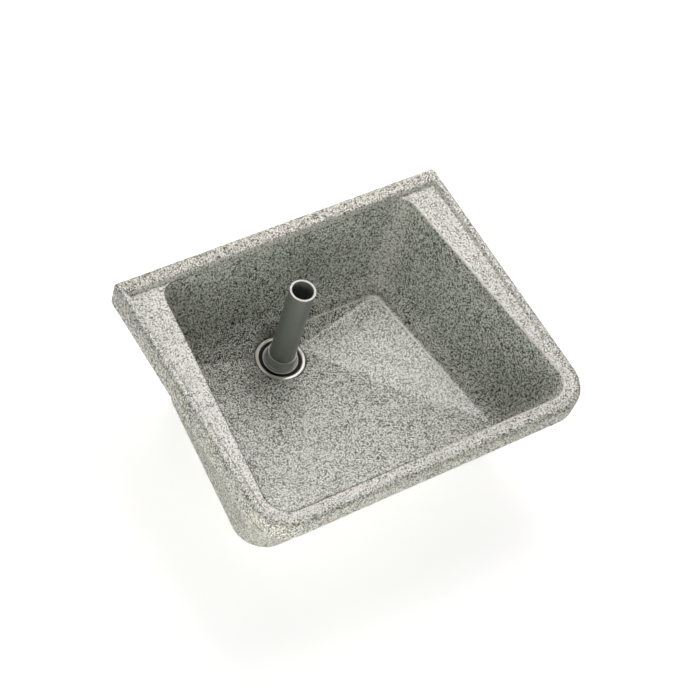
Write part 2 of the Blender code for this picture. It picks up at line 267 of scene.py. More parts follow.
def buildMottleGroup():
    # slow clouds of lighter and darker tone, as from uneven filling or handling
    tree, given, result = newGroup(
        "mottle",
        [("Vector", "Vector", None), ("Size", "Float", 0.04), ("Amount", "Float", 0.1)],
        [("Tone", "Float"), ("Mask", "Float")],
    )
    perMetre = maths(tree, "DIVIDE", 1.0, given["Size"])
    cloud = noiseField(tree, given["Vector"], perMetre, detail=4.0, roughness=0.6)
    low = maths(tree, "SUBTRACT", 1.0, given["Amount"])
    high = maths(tree, "ADD", 1.0, given["Amount"])
    tree.links.new(ramp(tree, cloud, 0.3, 0.7, low, high), result["Tone"])
    tree.links.new(ramp(tree, cloud, 0.42, 0.62), result["Mask"])
    return tree


def buildSkinGroup():
    # the fine orange peel and faint flow marks of moulded or drawn plastic and rubber
    tree, given, result = newGroup(
        "mouldedSkin",
        [
            ("Vector", "Vector", None),
            ("Peel Size", "Float", 0.0012),
            ("Drawn", "Vector", (1.0, 1.0, 1.0)),
            ("Base", "Color", (0.5, 0.5, 0.5, 1)),
            ("Spread", "Float", 0.08),
            ("Roughness", "Float", 0.4),
        ],
        [("Color", "Color"), ("Roughness", "Float"), ("Height", "Float")],
    )
    perMetre = maths(tree, "DIVIDE", 1.0, given["Peel Size"])
    place = stretched(tree, given["Vector"], given["Drawn"])
    peel = noiseField(tree, place, perMetre, detail=2.0)
    flow = noiseField(tree, place, maths(tree, "MULTIPLY", perMetre, 0.06), detail=3.0)
    low = maths(tree, "SUBTRACT", 1.0, given["Spread"])
    high = maths(tree, "ADD", 1.0, given["Spread"])
    both = maths(tree, "ADD", maths(tree, "MULTIPLY", peel, 0.4), maths(tree, "MULTIPLY", flow, 0.6))
    tone = ramp(tree, both, 0.3, 0.7, low, high)  # noise seldom goes below 0.3 or over 0.7
    tree.links.new(blend(tree, 1.0, given["Base"], tone, "MULTIPLY"), result["Color"])
    uneven = ramp(tree, flow, 0.3, 0.7, -0.06, 0.06)
    tree.links.new(maths(tree, "ADD", given["Roughness"], uneven, clamp=True), result["Roughness"])
    tree.links.new(peel, result["Height"])
    return tree


def buildScuffGroup():
    # short hairline scuffs and dust specks, sparse
    tree, given, result = newGroup(
        "scuffs",
        [("Vector", "Vector", None), ("Length", "Float", 0.01), ("Amount", "Float", 0.5)],
        [("Mask", "Float")],
    )
    perMetre = maths(tree, "DIVIDE", 1.0, given["Length"])
    lines = noiseField(tree, stretched(tree, given["Vector"], (9.0, 9.0, 1.0)), perMetre, detail=3.0)
    patches = noiseField(tree, given["Vector"], maths(tree, "MULTIPLY", perMetre, 0.4), detail=1.0)
    strip = maths(tree, "MULTIPLY", ramp(tree, lines, 0.6, 0.68), ramp(tree, patches, 0.5, 0.65))
    tree.links.new(maths(tree, "MULTIPLY", strip, given["Amount"], clamp=True), result["Mask"])
    return tree


grainGroup = buildGrainGroup()
mottleGroup = buildMottleGroup()
skinGroup = buildSkinGroup()
scuffGroup = buildScuffGroup()
print("shader groups built")


def makeStone():
    look = stoneLook
    material, tree, shader, place = newMaterial("castStone", IOR=1.52)
    dense, worn, groove, ridge = (addNode(tree, "Attribute", attribute_name=name).outputs["Fac"]
                                  for name in markNames)
    # the share of dark grains grows from the deck to the bowl, in patches and round a point on the floor
    share = ramp(tree, dense, 0.0, 1.0, look["darkOnDeck"], look["darkInBowl"])
    patches = placeGroup(tree, mottleGroup, Vector=place, Size=look["patchSize"], Amount=0.5)
    spread = maths(tree, "MULTIPLY", maths(tree, "SUBTRACT", patches["Tone"], 1.0), 2 * look["patchSpread"])
    share = maths(tree, "ADD", share, spread)
    darkerRound = ramp(tree, distanceFrom(tree, place, look["darkerAt"]), *look["darkerReach"], look["darkerBy"], 0.0)
    share = maths(tree, "ADD", share, darkerRound)
    # painted highlight: along the ridge there are fewer dark grains
    ridgeLighter = maths(tree, "SUBTRACT", 1.0, maths(tree, "MULTIPLY", ridge, look["ridgeLighten"]))
    share = maths(tree, "MULTIPLY", share, ridgeLighter)
    fine = placeGroup(tree, grainGroup, Vector=stretched(tree, place, look["grainDrawn"]),
                      Grain_Size=look["grainSize"], Dark_Share=share, White_Share=look["whiteShare"],
                      Ground=look["ground"], Dark=look["dark"], White=look["white"])
    flecks = ramp(tree, dense, 0.0, 1.0, look["flecksOnDeck"], look["flecksInBowl"])
    coarse = placeGroup(tree, grainGroup, Vector=place, Grain_Size=look["fleckSize"], Dark_Share=flecks)
    fleck = maths(tree, "MULTIPLY", coarse["Dark Mask"], look["fleckDepth"])
    colour = blend(tree, fleck, fine["Color"], look["dark"])
    # the deck has a painted warm tint of the lit top, the bowl a painted greenish tint of its shade only
    # where dense is close to 1, and the outside a tint of its own
    offBowl = maths(tree, "ABSOLUTE", maths(tree, "SUBTRACT", dense, 1.0))
    inside = maths(tree, "SUBTRACT", 1.0, maths(tree, "MULTIPLY", 12.0, offBowl), clamp=True)
    outside = ramp(tree, dense, 1.0, 1.25)
    tint = blend(tree, ramp(tree, dense, 0.0, 0.6), look["deckLitTint"], (1.0, 1.0, 1.0))
    tint = blend(tree, inside, tint, look["bowlShadeTint"])
    tint = blend(tree, outside, tint, look["outsideTint"])
    colour = blend(tree, 1.0, colour, tint, "MULTIPLY")
    clouds = placeGroup(tree, mottleGroup, Vector=place, Size=look["cloudSize"], Amount=look["cloudSpread"])
    colour = blend(tree, 1.0, colour, clouds["Tone"], "MULTIPLY")
    # edges are paler with wear and painted highlights, worn edges a little tan, and grooves darker with grime
    # and painted shade
    wearAndHighlight = maths(tree, "MAXIMUM", maths(tree, "MULTIPLY", worn, 0.5), ridge)
    colour = blend(tree, maths(tree, "MULTIPLY", wearAndHighlight, look["wearAndHighlightShare"]), colour, look["wearAndHighlightPale"])
    tan = maths(tree, "MULTIPLY", worn, clouds["Mask"])
    colour = blend(tree, maths(tree, "MULTIPLY", tan, look["edgeTanShare"]), colour, look["edgeTan"])
    # grime and painted shade darken the lip's foot, the cove beside the ridge, the near mouth edge, the hole,
    # the pocket and under the skirt
    colour = blend(tree, maths(tree, "MULTIPLY", groove, look["grimeAndShadeShare"]), colour, look["grimeAndShadeColour"])
    rough = ramp(tree, outside, 0.0, 1.0, look["bowlRoughness"], look["outsideRoughness"])
    smoother = maths(tree, "MULTIPLY", fine["Dark Mask"], look["darkSmoother"])
    strength = ramp(tree, dense, 0.0, 1.0, look["bumpOnDeck"], look["bumpInBowl"])
    coverWith(tree, shader, colour, maths(tree, "SUBTRACT", rough, smoother), fine["Height"], strength,
              look["bumpDepth"])
    return material


def skinOf(tree, place, look, **others):
    # the moulded skin with a finish's own values
    values = {"Peel_Size": look["peelSize"], "Base": look["base"], "Spread": look["toneSpread"],
              "Roughness": look["roughness"], **others}
    return placeGroup(tree, skinGroup, Vector=place, **values)


ivoryLook = {
    "base": (0.98, 0.95, 0.86),
    "toneSpread": 0.02,
    "roughness": 0.14,
    "peelSize": 0.0016,
    "peelBump": 0.08,
    "stain": (0.72, 0.60, 0.45),
    "stainSize": 0.02,
    "stainShare": 0.12,
}


def makeIvory():
    look = ivoryLook
    material, tree, shader, place = newMaterial("ivoryPlastic", IOR=1.58, Coat_Weight=1.0,
                                                Coat_Roughness=0.1, Coat_IOR=2.1)
    skin = skinOf(tree, place, look)
    stain = placeGroup(tree, mottleGroup, Vector=place, Size=look["stainSize"])["Mask"]
    colour = blend(tree, maths(tree, "MULTIPLY", stain, look["stainShare"]), skin["Color"], look["stain"])
    coverWith(tree, shader, colour, skin["Roughness"], skin["Height"], look["peelBump"])
    return material


blackRubberLook = {
    "base": (0.022, 0.021, 0.020),
    "toneSpread": 0.25,
    "roughness": 0.6,
    "peelSize": 0.0008,
    "peelBump": 0.2,
    "bloom": (0.035, 0.028, 0.025),
    "bloomSize": 0.012,
    "bloomShare": 0.1,
}
sealRubberLook = {**blackRubberLook, "base": (0.006, 0.0055, 0.005)}


def makeRubber(name, look):
    material, tree, shader, place = newMaterial(name, IOR=1.35)
    skin = skinOf(tree, place, look)
    bloom = placeGroup(tree, mottleGroup, Vector=place, Size=look["bloomSize"])["Mask"]
    colour = blend(tree, maths(tree, "MULTIPLY", bloom, look["bloomShare"]), skin["Color"], look["bloom"])
    coverWith(tree, shader, colour, skin["Roughness"], skin["Height"], look["peelBump"])
    return material


plugGreyLook = {
    "base": (0.42, 0.437, 0.415),
    "toneSpread": 0.07,
    "roughness": 0.2,
    "peelSize": 0.0011,
    "peelBump": 0.12,
    "drawn": (1.0, 1.0, 4.0),
    "scuff": (0.30, 0.31, 0.29),
    "scuffLength": 0.02,
    "scuffShare": 0.35,
    "paintedHighlight": (0.92, 0.925, 0.90),
    "cutDark": (0.80, 0.79, 0.75),
    "cutPale": (0.93, 0.92, 0.89),
    "cutRoughness": 0.55,
    "sawMarks": 900.0,
    "cutBelow": 0.0004,
    "cutAbove": 0.001,
}
pipeGreyLook = {**plugGreyLook, "base": (0.235, 0.257, 0.238), "roughness": 0.42, "drawn": (1.0, 1.0, 0.08)}


def makeGreyPlastic(name, look, top, highlightRings=()):
    # the sawn or faced end at the top is painted pale, partly the sawn face's own paler tone and partly a
    # painted highlight on the lit end
    # highlight rings round the drain's axis are (radius, half width, highest point, strength) and painted
    # lighter, as painted highlights
    material, tree, shader, place = newMaterial(name)
    skin = skinOf(tree, place, look, Drawn=look["drawn"])
    scuff = placeGroup(tree, scuffGroup, Vector=place, Length=look["scuffLength"], Amount=look["scuffShare"])
    colour = blend(tree, scuff["Mask"], skin["Color"], look["scuff"])
    axes = addNode(tree, "SeparateXYZ")
    tree.links.new(place, axes.inputs[0])
    height = axes.outputs["Z"]
    radius = distanceFrom(tree, stretched(tree, place, (1.0, 1.0, 0.0)), drain)
    for middle, half, highest, strength in highlightRings:
        off = maths(tree, "ABSOLUTE", maths(tree, "SUBTRACT", radius, middle))
        ring = ramp(tree, off, half * 0.6, half * 1.3, strength, 0.0)
        ring = maths(tree, "MULTIPLY", ring, maths(tree, "LESS_THAN", height, highest))
        colour = blend(tree, ring, colour, look["paintedHighlight"])
    cut = maths(tree, "MULTIPLY", maths(tree, "GREATER_THAN", height, top - look["cutBelow"]),
                maths(tree, "LESS_THAN", height, top + look["cutAbove"]))
    sawn = noiseField(tree, place, look["sawMarks"], detail=3.0)
    colour = blend(tree, cut, colour, blend(tree, sawn, look["cutDark"], look["cutPale"]))
    rough = blend(tree, cut, skin["Roughness"], (look["cutRoughness"],) * 3)
    coverWith(tree, shader, colour, rough, skin["Height"], look["peelBump"])
    return material


nutLook = {
    "base": (0.24, 0.25, 0.24),
    "toneSpread": 0.12,
    "roughness": 0.5,
    "peelSize": 0.0007,
    "peelBump": 0.35,
}


def makeNutPlastic():
    material, tree, shader, place = newMaterial("nutPlastic")
    skin = skinOf(tree, place, nutLook)
    coverWith(tree, shader, skin["Color"], skin["Roughness"], skin["Height"], nutLook["peelBump"])
    return material


fibreLook = {
    "dark": (0.30, 0.075, 0.05),
    "pale": (0.52, 0.17, 0.11),
    "strandScale": 700.0,
    "drawn": (1.0, 3.5, 1.0),
    "roughness": (0.7, 0.9),
    "bump": 0.4,
}


def makeFibre():
    look = fibreLook
    material, tree, shader, place = newMaterial("fibreSheet")
    strands = noiseField(tree, stretched(tree, place, look["drawn"]), look["strandScale"], detail=4.0,
                         roughness=0.7)
    colour = blend(tree, ramp(tree, strands, 0.35, 0.65), look["dark"], look["pale"])
    rough = ramp(tree, strands, 0.3, 0.7, *look["roughness"])
    coverWith(tree, shader, colour, rough, strands, look["bump"])
    return material


# The basin
stoneBasin = {
    "deckHeight": 0.246,
    "lipRise": 0.010,
    "lipWidth": 0.012,
    "lipFoot": 0.004,
    "ledgeDepth": 0.026,
    "frontBand": 0.026,
    "skirtDrop": 0.038,
    "skirtWall": 0.010,
    "deckWall": 0.016,
    "rimEdge": 0.006,
    "skirtEdge": 0.002,
    "skirtLean": 0.001,
    "frontCorner": 0.060,
    "backCorner": 0.006,
    "mouthBackWidth": 0.461,
    "mouthFrontWidth": 0.553,
    "mouthBackCorner": 0.027,
    "mouthFrontCorner": 0.038,
    "mouthEdge": 0.004,
    "floorCorner": 0.040,
    "backDepth": 0.181,
    "frontDepth": 0.171,
    "sumpHeight": 0.0405,
    "cove": 0.046,
    "coveStart": 20,
    "ridgeWidth": 0.0028,
    "ridgeRise": 0.0003,
    "sumpCorner": 0.002,
    "sumpRight": 0.046,
    "sumpLeft": 0.020,
    "sumpHalf": 0.008,
    "sideSlope": 0.168,
    "backSlope": 0.18,
    "frontSlope": 0.29,
    "bodyWall": 0.012,
    "floorWall": 0.014,
    "footWidth": 0.020,
    "footEdge": 0.002,
    "seatHeight": 0.0304,
    "bossHeight": 0.0204,
    "bossRadius": 0.0435,
    "bossMargin": 0.0015,
    "pocketRadius": 0.0435,
    "dishRise": 0.0405,
    "dishRun": 0.010,
    "dishDrop": 0.001,
    "holeRadius": 0.035,
    "sideSteps": (84, 60, 92, 60),
    "cornerSteps": 12,
    "coveSteps": 16,
    "dishSteps": 10,
    "floorSteps": 36,
    "edgeSteps": 6,
    "lipSteps": 9,
    "rimSteps": 8,
    "skirtEdgeSteps": 3,
    "openFloor": 0.008,  # where less floor than this is left, the dish's step and the ridge shrink
    "castWave": 0.00022,
    "waveScale": 14,
    "castGrit": 0.00006,
    "gritScale": 160,
}
# how wear, grime, painted highlights and painted shade lie on the casting; a pair is where a mark starts and
# where it is full
stoneMarks = {
    "crestAcross": (0.0, 0.012),
    "crestAlong": (-0.12, 0.0),
    "cornerReach": 9,  # in steps of the outline, from the middle of the back right corner
    "cornerSheenLift": 0.5,
    "cornerSheen": 0.45,
    "shelfDark": 0.32,
    "shelfAcross": (0.55, 0.8),
    "shelfAlong": (-0.5, 0.1),
    "dishGrime": 0.3,
    "floorGrime": 0.15,
    "foldHighlight": 0.5,
    "nearShadeHeading": (0.75, 0.66),  # a direction, for the painted shade line along the near edge
    "nearShadeSpan": (0.25, 0.6),
    "nearShadeLine": 2.3,
    "edgeWearAndSheen": 0.8,
    "rightHighlight": 1.4,
    "rightHighlightSpan": (0.5, 0.8),
    "ledgeDense": 1.2,
    "sideLipDense": 0.8,
    "lipWearAndSheen": 1.6,
    "lipShadeAndGrime": 0.9,
    "rimWearAndSheen": 0.35,
    "rimDense": 0.9,
    "outsideDense": 1.3,
}
halfLength = basinHigh.x
halfDepth = basinHigh.y
mouthBack = halfDepth - stoneBasin["ledgeDepth"]
mouthFront = stoneBasin["frontBand"] - halfDepth


def roundedOutline(corners, radii):
    # corners run anticlockwise from the back right; arcs and straights have steps of their own
    arcs = []
    for index, corner in enumerate(corners):
        toBefore = (corners[index - 1] - corner).normalized()
        toAfter = (corners[(index + 1) % len(corners)] - corner).normalized()
        half = toBefore.angle(toAfter) / 2
        radius = radii[index]
        centre = corner + (toBefore + toAfter).normalized() * radius / math.sin(half)
        start = corner + toBefore * radius / math.tan(half) - centre
        first = math.atan2(start.y, start.x)
        steps = stoneBasin["cornerSteps"]
        turns = [first + (math.pi - 2 * half) * step / steps for step in range(steps + 1)]
        arcs.append([centre + Vector((math.cos(turn), math.sin(turn))) * radius for turn in turns])
    points = []
    for index, arc in enumerate(arcs):
        points += arc
        following = arcs[(index + 1) % len(arcs)][0]
        steps = stoneBasin["sideSteps"][index]
        points += [arc[-1].lerp(following, step / steps) for step in range(1, steps)]
    return points


def atHeight(outline, height):
    # the height is a number, or a function of the place from front to back
    return [Vector((point.x, point.y, height(point.y) if callable(height) else height)) for point in outline]


def rimRing(inset, height, backInset=None):
    size = stoneBasin
    backInset = inset if backInset is None else backInset
    x = halfLength - inset
    yBack = halfDepth - backInset
    yFront = inset - halfDepth
    corners = [Vector(place) for place in ((x, yBack), (-x, yBack), (-x, yFront), (x, yFront))]
    back = max(size["backCorner"] - inset, size["skirtEdge"])
    front = size["frontCorner"] - inset
    return atHeight(roundedOutline(corners, (back, back, front, front)), height)


def lipRiseAt(y):
    # the lip falls from its full height at the back to the deck at the front
    return stoneBasin["lipRise"] * (y + halfDepth) / (2 * halfDepth)


def mouthHalfWidth(y):
    share = (y - mouthFront) / (mouthBack - mouthFront)
    wide, narrow = stoneBasin["mouthFrontWidth"], stoneBasin["mouthBackWidth"]
    return (wide + (narrow - wide) * share) / 2


def bowlRing(backDepth, frontDepth, inset, backLine=None):
    # the bowl's wall at a depth under the deck, moved inwards by the inset
    size = stoneBasin
    yBack = mouthBack - size["backSlope"] * backDepth - inset if backLine is None else backLine
    yFront = mouthFront + size["frontSlope"] * frontDepth + inset
    xBack = mouthHalfWidth(yBack) - size["sideSlope"] * backDepth - inset
    xFront = mouthHalfWidth(yFront) - size["sideSlope"] * frontDepth - inset
    places = ((xBack, yBack), (-xBack, yBack), (-xFront, yFront), (xFront, yFront))
    down = min(backDepth / size["backDepth"], 1.0)
    back = size["mouthBackCorner"] + (size["floorCorner"] - size["mouthBackCorner"]) * down - inset
    front = size["mouthFrontCorner"] + (size["floorCorner"] - size["mouthFrontCorner"]) * down - inset
    back, front = max(back, size["sumpCorner"]), max(front, size["sumpCorner"])
    outline = roundedOutline([Vector(place) for place in places], (back, back, front, front))

    def height(y):
        share = (y - yFront) / (yBack - yFront)
        return size["deckHeight"] - frontDepth - (backDepth - frontDepth) * share

    return atHeight(outline, height)


def sumpRing():
    size = stoneBasin
    right, left = drain.x + size["sumpRight"], drain.x - size["sumpLeft"]
    back, front = drain.y + size["sumpHalf"], drain.y - size["sumpHalf"]
    corners = [Vector(place) for place in ((right, back), (left, back), (left, front), (right, front))]
    return atHeight(roundedOutline(corners, [size["sumpCorner"]] * 4), size["sumpHeight"])


def inDish(point):
    # the steep dish cut round the drain widens upwards from the pocket
    size = stoneBasin
    rise = max(point.z - size["sumpHeight"] + size["dishDrop"], 0)
    return (point - drain).xy.length < size["pocketRadius"] + rise * size["dishRun"] / size["dishRise"]


def fromTo(value, low, high):
    # 0 up to the low value and 1 from the high one
    return min(max((value - low) / (high - low), 0.0), 1.0)


def lengthOf(line):
    return sum((b - a).length for a, b in zip(line, line[1:]))


def followed(line, distance):
    # the point this far along a line of points
    for a, b in zip(line, line[1:]):
        step = (b - a).length
        if distance <= step and step > 0:
            return a.lerp(b, distance / step)
        distance -= step
    return line[-1].copy()


def floorColumns(coveRings):
    # each column runs from the dish's foot over the floor, then up the cove; both parts are lines of points
    size = stoneBasin
    middle = Vector((drain.x, drain.y, size["sumpHeight"]))
    footHeight = size["sumpHeight"] - size["dishDrop"]
    columns = []
    for index, near in enumerate(sumpRing()):
        line = [middle, near] + [ring[index] for ring in coveRings]
        place = next(count for count, point in enumerate(line) if not inDish(point)) - 1
        inside, outside = line[place], line[place + 1]
        for step in range(24):  # halved until it is found
            half = inside.lerp(outside, 0.5)
            inside, outside = (half, outside) if inDish(half) else (inside, half)
        way = (outside - drain).xy.normalized()
        foot = Vector((*(drain.xy + way * size["pocketRadius"]), footHeight))
        floor = [outside] + line[place + 1:3]
        cove = line[2:] if place < 2 else [outside] + line[place + 1:]
        openness = min(lengthOf(floor) / size["openFloor"], 1)
        across = fromTo(outside.x - drain.x, *stoneMarks["crestAcross"])
        columns.append({
            "way": way,
            "floor": [foot] + floor,
            "cove": cove,
            "crest": openness * across * fromTo(line[2].y, *stoneMarks["crestAlong"]),
            "dishLength": (outside - foot).length * (0.5 + 0.5 * openness),
        })
    return columns


def between(first, second, steps):
    # rings between two rings, without the two themselves
    return [[a.lerp(b, step / steps) for a, b in zip(first, second)] for step in range(1, steps)]


class RingPile:
    # the rings of one closed skin, each point with its marks for the finish
    # dense: how closely the dark grains lie, from the deck at 0 to the bowl at 1, and over 1 outside

    def __init__(self):
        self.rings = []
        self.marks = []

    def add(self, ring, steps=1, **marks):
        # a mark is a number or one number for each point; steps over 1 first fill the way from the last ring
        rows = []
        for name in markNames:
            value = marks.get(name, 0.0)
            rows.append(list(value) if isinstance(value, list) else [value] * len(ring))
        if steps > 1:
            last = self.marks[-1]
            for count, middle in enumerate(between(self.rings[-1], ring, steps), start=1):
                share = count / steps
                self.rings.append(middle)
                self.marks.append([[a + (b - a) * share for a, b in zip(*pair)] for pair in zip(last, rows)])
        self.rings.append(ring)
        self.marks.append(rows)


def basinRings():
    size, wearAndLight = stoneBasin, stoneMarks
    pile = RingPile()
    deck, quarter = size["deckHeight"], math.pi / 2
    lean = math.atan(size["sideSlope"])
    start, end = math.radians(size["coveStart"]), quarter - lean
    coveRise = size["cove"] * (math.cos(start) - math.cos(end))
    coveReach = size["cove"] * (math.sin(end) - math.sin(start)) - coveRise * size["sideSlope"]
    coveSteps = size["coveSteps"]
    coveRings = []
    for step in range(coveSteps + 1):
        turn = start + (end - start) * step / coveSteps
        rise = size["cove"] * (math.cos(start) - math.cos(turn))
        run = size["cove"] * (math.sin(turn) - math.sin(start))
        inset = coveReach - run + rise * size["sideSlope"]
        coveRings.append(bowlRing(size["backDepth"] - rise, size["frontDepth"] - rise, inset))
    columns = floorColumns(coveRings)

    def circle(radius, height):
        return [Vector((drain.x + column["way"].x * radius, drain.y + column["way"].y * radius, height))
                for column in columns]

    # up through the drain hole, over the seat and out of the pocket
    # grime and painted shade darken the hole and the pocket's corner
    pile.add(circle(size["holeRadius"], size["bossHeight"]), groove=0.2)
    pile.add(circle(size["holeRadius"], size["seatHeight"]), groove=0.6, steps=4)
    pile.add(circle(size["pocketRadius"], size["seatHeight"]), dense=1.0, groove=1.0, steps=4)
    pile.add([column["floor"][0] for column in columns], dense=1.0, groove=0.5, steps=6)
    # up the dish and the four slopes of the floor to the low ridge that the mould leaves on their right side,
    # fading out towards the front
    dishSteps, floorSteps, ridge = size["dishSteps"], size["floorSteps"], size["ridgeWidth"]
    for step in range(1, dishSteps):
        pile.add([followed(column["floor"], column["dishLength"] * step / dishSteps) for column in columns],
                 dense=1.0, groove=wearAndLight["dishGrime"] * (1 - step / dishSteps))
    for column in columns:
        column["left"] = lengthOf(column["floor"]) - column["dishLength"]
        column["short"] = min(2 * ridge, column["left"] / 2)
    for step in range(floorSteps):
        share = step / floorSteps
        pile.add([followed(column["floor"], column["dishLength"] + (column["left"] - column["short"]) * share)
                  for column in columns], dense=1.0, groove=wearAndLight["floorGrime"] * max(0, 1 - share * 12))
    # the ridge's own section: how far back from the cove, and how much of its height
    # the ridge mark paints a highlight along the ridge's crest
    for back, crest in ((1, 0), (0.65, 0), (0.4, 0.8), (0.2, 1)):
        lifts = [Vector((0, 0, size["ridgeRise"])) * crest * column["crest"] for column in columns]
        pile.add([followed(column["floor"], lengthOf(column["floor"]) - column["short"] * back) + lift
                  for column, lift in zip(columns, lifts)],
                 dense=1.0, ridge=[crest * column["crest"] for column in columns])
    # the cove, the wall and the mouth's edge; the back right corner has fewer dark grains and a pale mark, a
    # painted sheen on the rounded corner
    middle, reach = size["cornerSteps"] / 2, wearAndLight["cornerReach"]
    corner = [max(0.0, 1 - abs(index - middle) / reach) for index in range(len(columns))]
    wallDense = [1 - wearAndLight["cornerSheenLift"] * value for value in corner]
    wallSheen = [wearAndLight["cornerSheen"] * value for value in corner]
    deckDense = [wearAndLight["shelfDark"] * fromTo(abs(column["way"].x), *wearAndLight["shelfAcross"])
                 * fromTo(column["way"].y, *wearAndLight["shelfAlong"]) for column in columns]
    for step in range(coveSteps + 1):
        ring = [followed(column["cove"], lengthOf(column["cove"]) * step / coveSteps) for column in columns]
        band = max(0.0, 1 - abs(step - 2) / 3)  # painted shade: a soft dark band in the cove beside the ridge
        pile.add(ring, dense=wallDense, worn=wallSheen, groove=[band * column["crest"] for column in columns],
                 ridge=[wearAndLight["foldHighlight"] * column["crest"] * (step == 0) for column in columns])
    edgeSteps, towards = size["edgeSteps"], wearAndLight["nearShadeHeading"]
    near = [fromTo(-(column["way"].x * towards[0] + column["way"].y * towards[1]), *wearAndLight["nearShadeSpan"])
            for column in columns]
    # painted highlight: the mouth's edge on the right is painted paler, where it catches the light
    rightHighlit = [fromTo(column["way"].x, *wearAndLight["rightHighlightSpan"]) for column in columns]
    for step in range(edgeSteps + 1):
        turn = quarter * step / edgeSteps
        depth = size["mouthEdge"] * (1 - math.sin(turn))
        inset = -size["mouthEdge"] * (1 - math.cos(turn))
        ring = bowlRing(depth, depth, inset, backLine=mouthBack - size["backSlope"] * depth - gap)
        share = step / edgeSteps
        # painted shade: a dark line on the near side of the mouth's edge, where it turns from view, with less
        # pale wear there
        line = [wearAndLight["nearShadeLine"] * value * (step in (1, 2, 3)) for value in near]
        bright = [wearAndLight["edgeWearAndSheen"] + wearAndLight["rightHighlight"] * value * (step > 2) for value in rightHighlit]
        worn = [max(most * math.sin(math.pi * share) * (1 - value * (step < 5)), paintedHighlight * (1 - share))
                for most, value, paintedHighlight in zip(bright, near, wallSheen)]
        dense = [max((1 - share) * wall, share * level) for wall, level in zip(wallDense, deckDense)]
        pile.add(ring, dense=dense, worn=worn, groove=line, steps=36 if step == 0 else 1)
    # the deck, the lip and the ledge
    lipSteps = size["lipSteps"]
    ledgeFrom = halfDepth - size["ledgeDepth"] - size["lipFoot"]
    for step in range(lipSteps + 1):
        share = step / lipSteps
        climb = share * share * (3 - 2 * share)
        inset = size["lipWidth"] + size["lipFoot"] * (1 - share)
        backInset = size["ledgeDepth"] - size["lipFoot"] * (1 - math.sqrt(1 - climb * climb))
        ring = rimRing(inset, lambda y: deck + lipRiseAt(y) * climb, backInset)
        foot = max(0.0, 1 - abs(share - 0.12) * 8)  # painted shade and grime gather just inside the lip
        topDense = [wearAndLight["ledgeDense"] if point.y > ledgeFrom else wearAndLight["sideLipDense"] for point in ring]
        top = fromTo(share, 0.6, 1.0)
        dense = [max(top * value, (1 - share) * level) for value, level in zip(topDense, deckDense)]
        pile.add(ring, dense=dense, worn=wearAndLight["lipWearAndSheen"] * share * (1 - share),
                 groove=wearAndLight["lipShadeAndGrime"] * foot, steps=8 if step == 0 else 1)
    # over the rim, down the skirt and under it
    rimSteps, outside = size["rimSteps"], wearAndLight["outsideDense"]
    for step in range(rimSteps + 1):
        turn = quarter * step / rimSteps
        drop = size["rimEdge"] * (1 - math.cos(turn))
        inset = size["rimEdge"] * (1 - math.sin(turn))
        worn = wearAndLight["rimWearAndSheen"] * math.sin(math.pi * step / rimSteps)
        ring = rimRing(inset, lambda y: deck + lipRiseAt(y) - drop)
        least = wearAndLight["rimDense"] + (outside - wearAndLight["rimDense"]) * step / rimSteps
        pile.add(ring, dense=[max(value, least) for value in topDense], worn=worn,
                 steps=4 if step == 0 else 1)
    skirtBottom, skirtEdge, skirtSteps = deck - size["skirtDrop"], size["skirtEdge"], size["skirtEdgeSteps"]
    for step in range(skirtSteps + 1):
        turn = quarter * step / skirtSteps
        inset = size["skirtLean"] + skirtEdge * (1 - math.cos(turn))
        height = skirtBottom + skirtEdge * (1 - math.sin(turn))
        ring = rimRing(inset, height, backInset=skirtEdge * (1 - math.cos(turn)))
        pile.add(ring, dense=outside, steps=8 if step == 0 else 1)
    pile.add(rimRing(size["skirtWall"], skirtBottom), dense=wearAndLight["rimDense"], steps=3)
    # grime and painted shade darken the skirt's underside where it meets the body
    pile.add(rimRing(size["skirtWall"], deck - size["deckWall"]), dense=1, groove=0.5, steps=5)
    # the outside of the bowl, the foot and the hollow under the floor
    wall, footEdge = size["bodyWall"], size["footEdge"]
    pile.add(bowlRing(size["deckWall"], size["deckWall"], -wall), dense=outside, groove=0.4, steps=4)
    for step in range(skirtSteps + 1):
        turn = quarter * step / skirtSteps
        depth = deck - footEdge * (1 - math.sin(turn))
        inset = footEdge * (1 - math.cos(turn)) - wall
        pile.add(bowlRing(depth, depth, inset), dense=outside, steps=32 if step == 0 else 1)
    hollowBack = drain.y + size["bossRadius"] + size["bossMargin"]
    pile.add(bowlRing(deck, deck, size["footWidth"] - wall, backLine=hollowBack), dense=1, steps=5)
    under = bowlRing(size["backDepth"] + size["floorWall"], size["frontDepth"] + size["floorWall"], coveReach,
                     backLine=hollowBack - size["bossMargin"] / 2)
    pile.add(under, dense=1, steps=8)
    bossTop = size["sumpHeight"] - size["floorWall"]
    pile.add(circle(size["bossRadius"] + size["bossMargin"] / 4, bossTop), dense=1, steps=24)
    pile.add(circle(size["bossRadius"], size["bossHeight"]), dense=1, steps=4)
    pile.add(circle(size["holeRadius"], size["bossHeight"]), dense=1, steps=3)
    pile.rings.pop()  # the last ring is the first one again
    pile.marks.pop()
    return pile


def newPiece(name, mesh, material, body, nodes):
    mesh.materials.append(material)
    mesh.shade_smooth()
    mesh.set_sharp_from_angle(angle=sharpAngle)
    piece = bpy.data.objects.new(name, mesh)
    bpy.context.scene.collection.objects.link(piece)
    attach(piece, body)
    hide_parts(*nodes)
    return piece


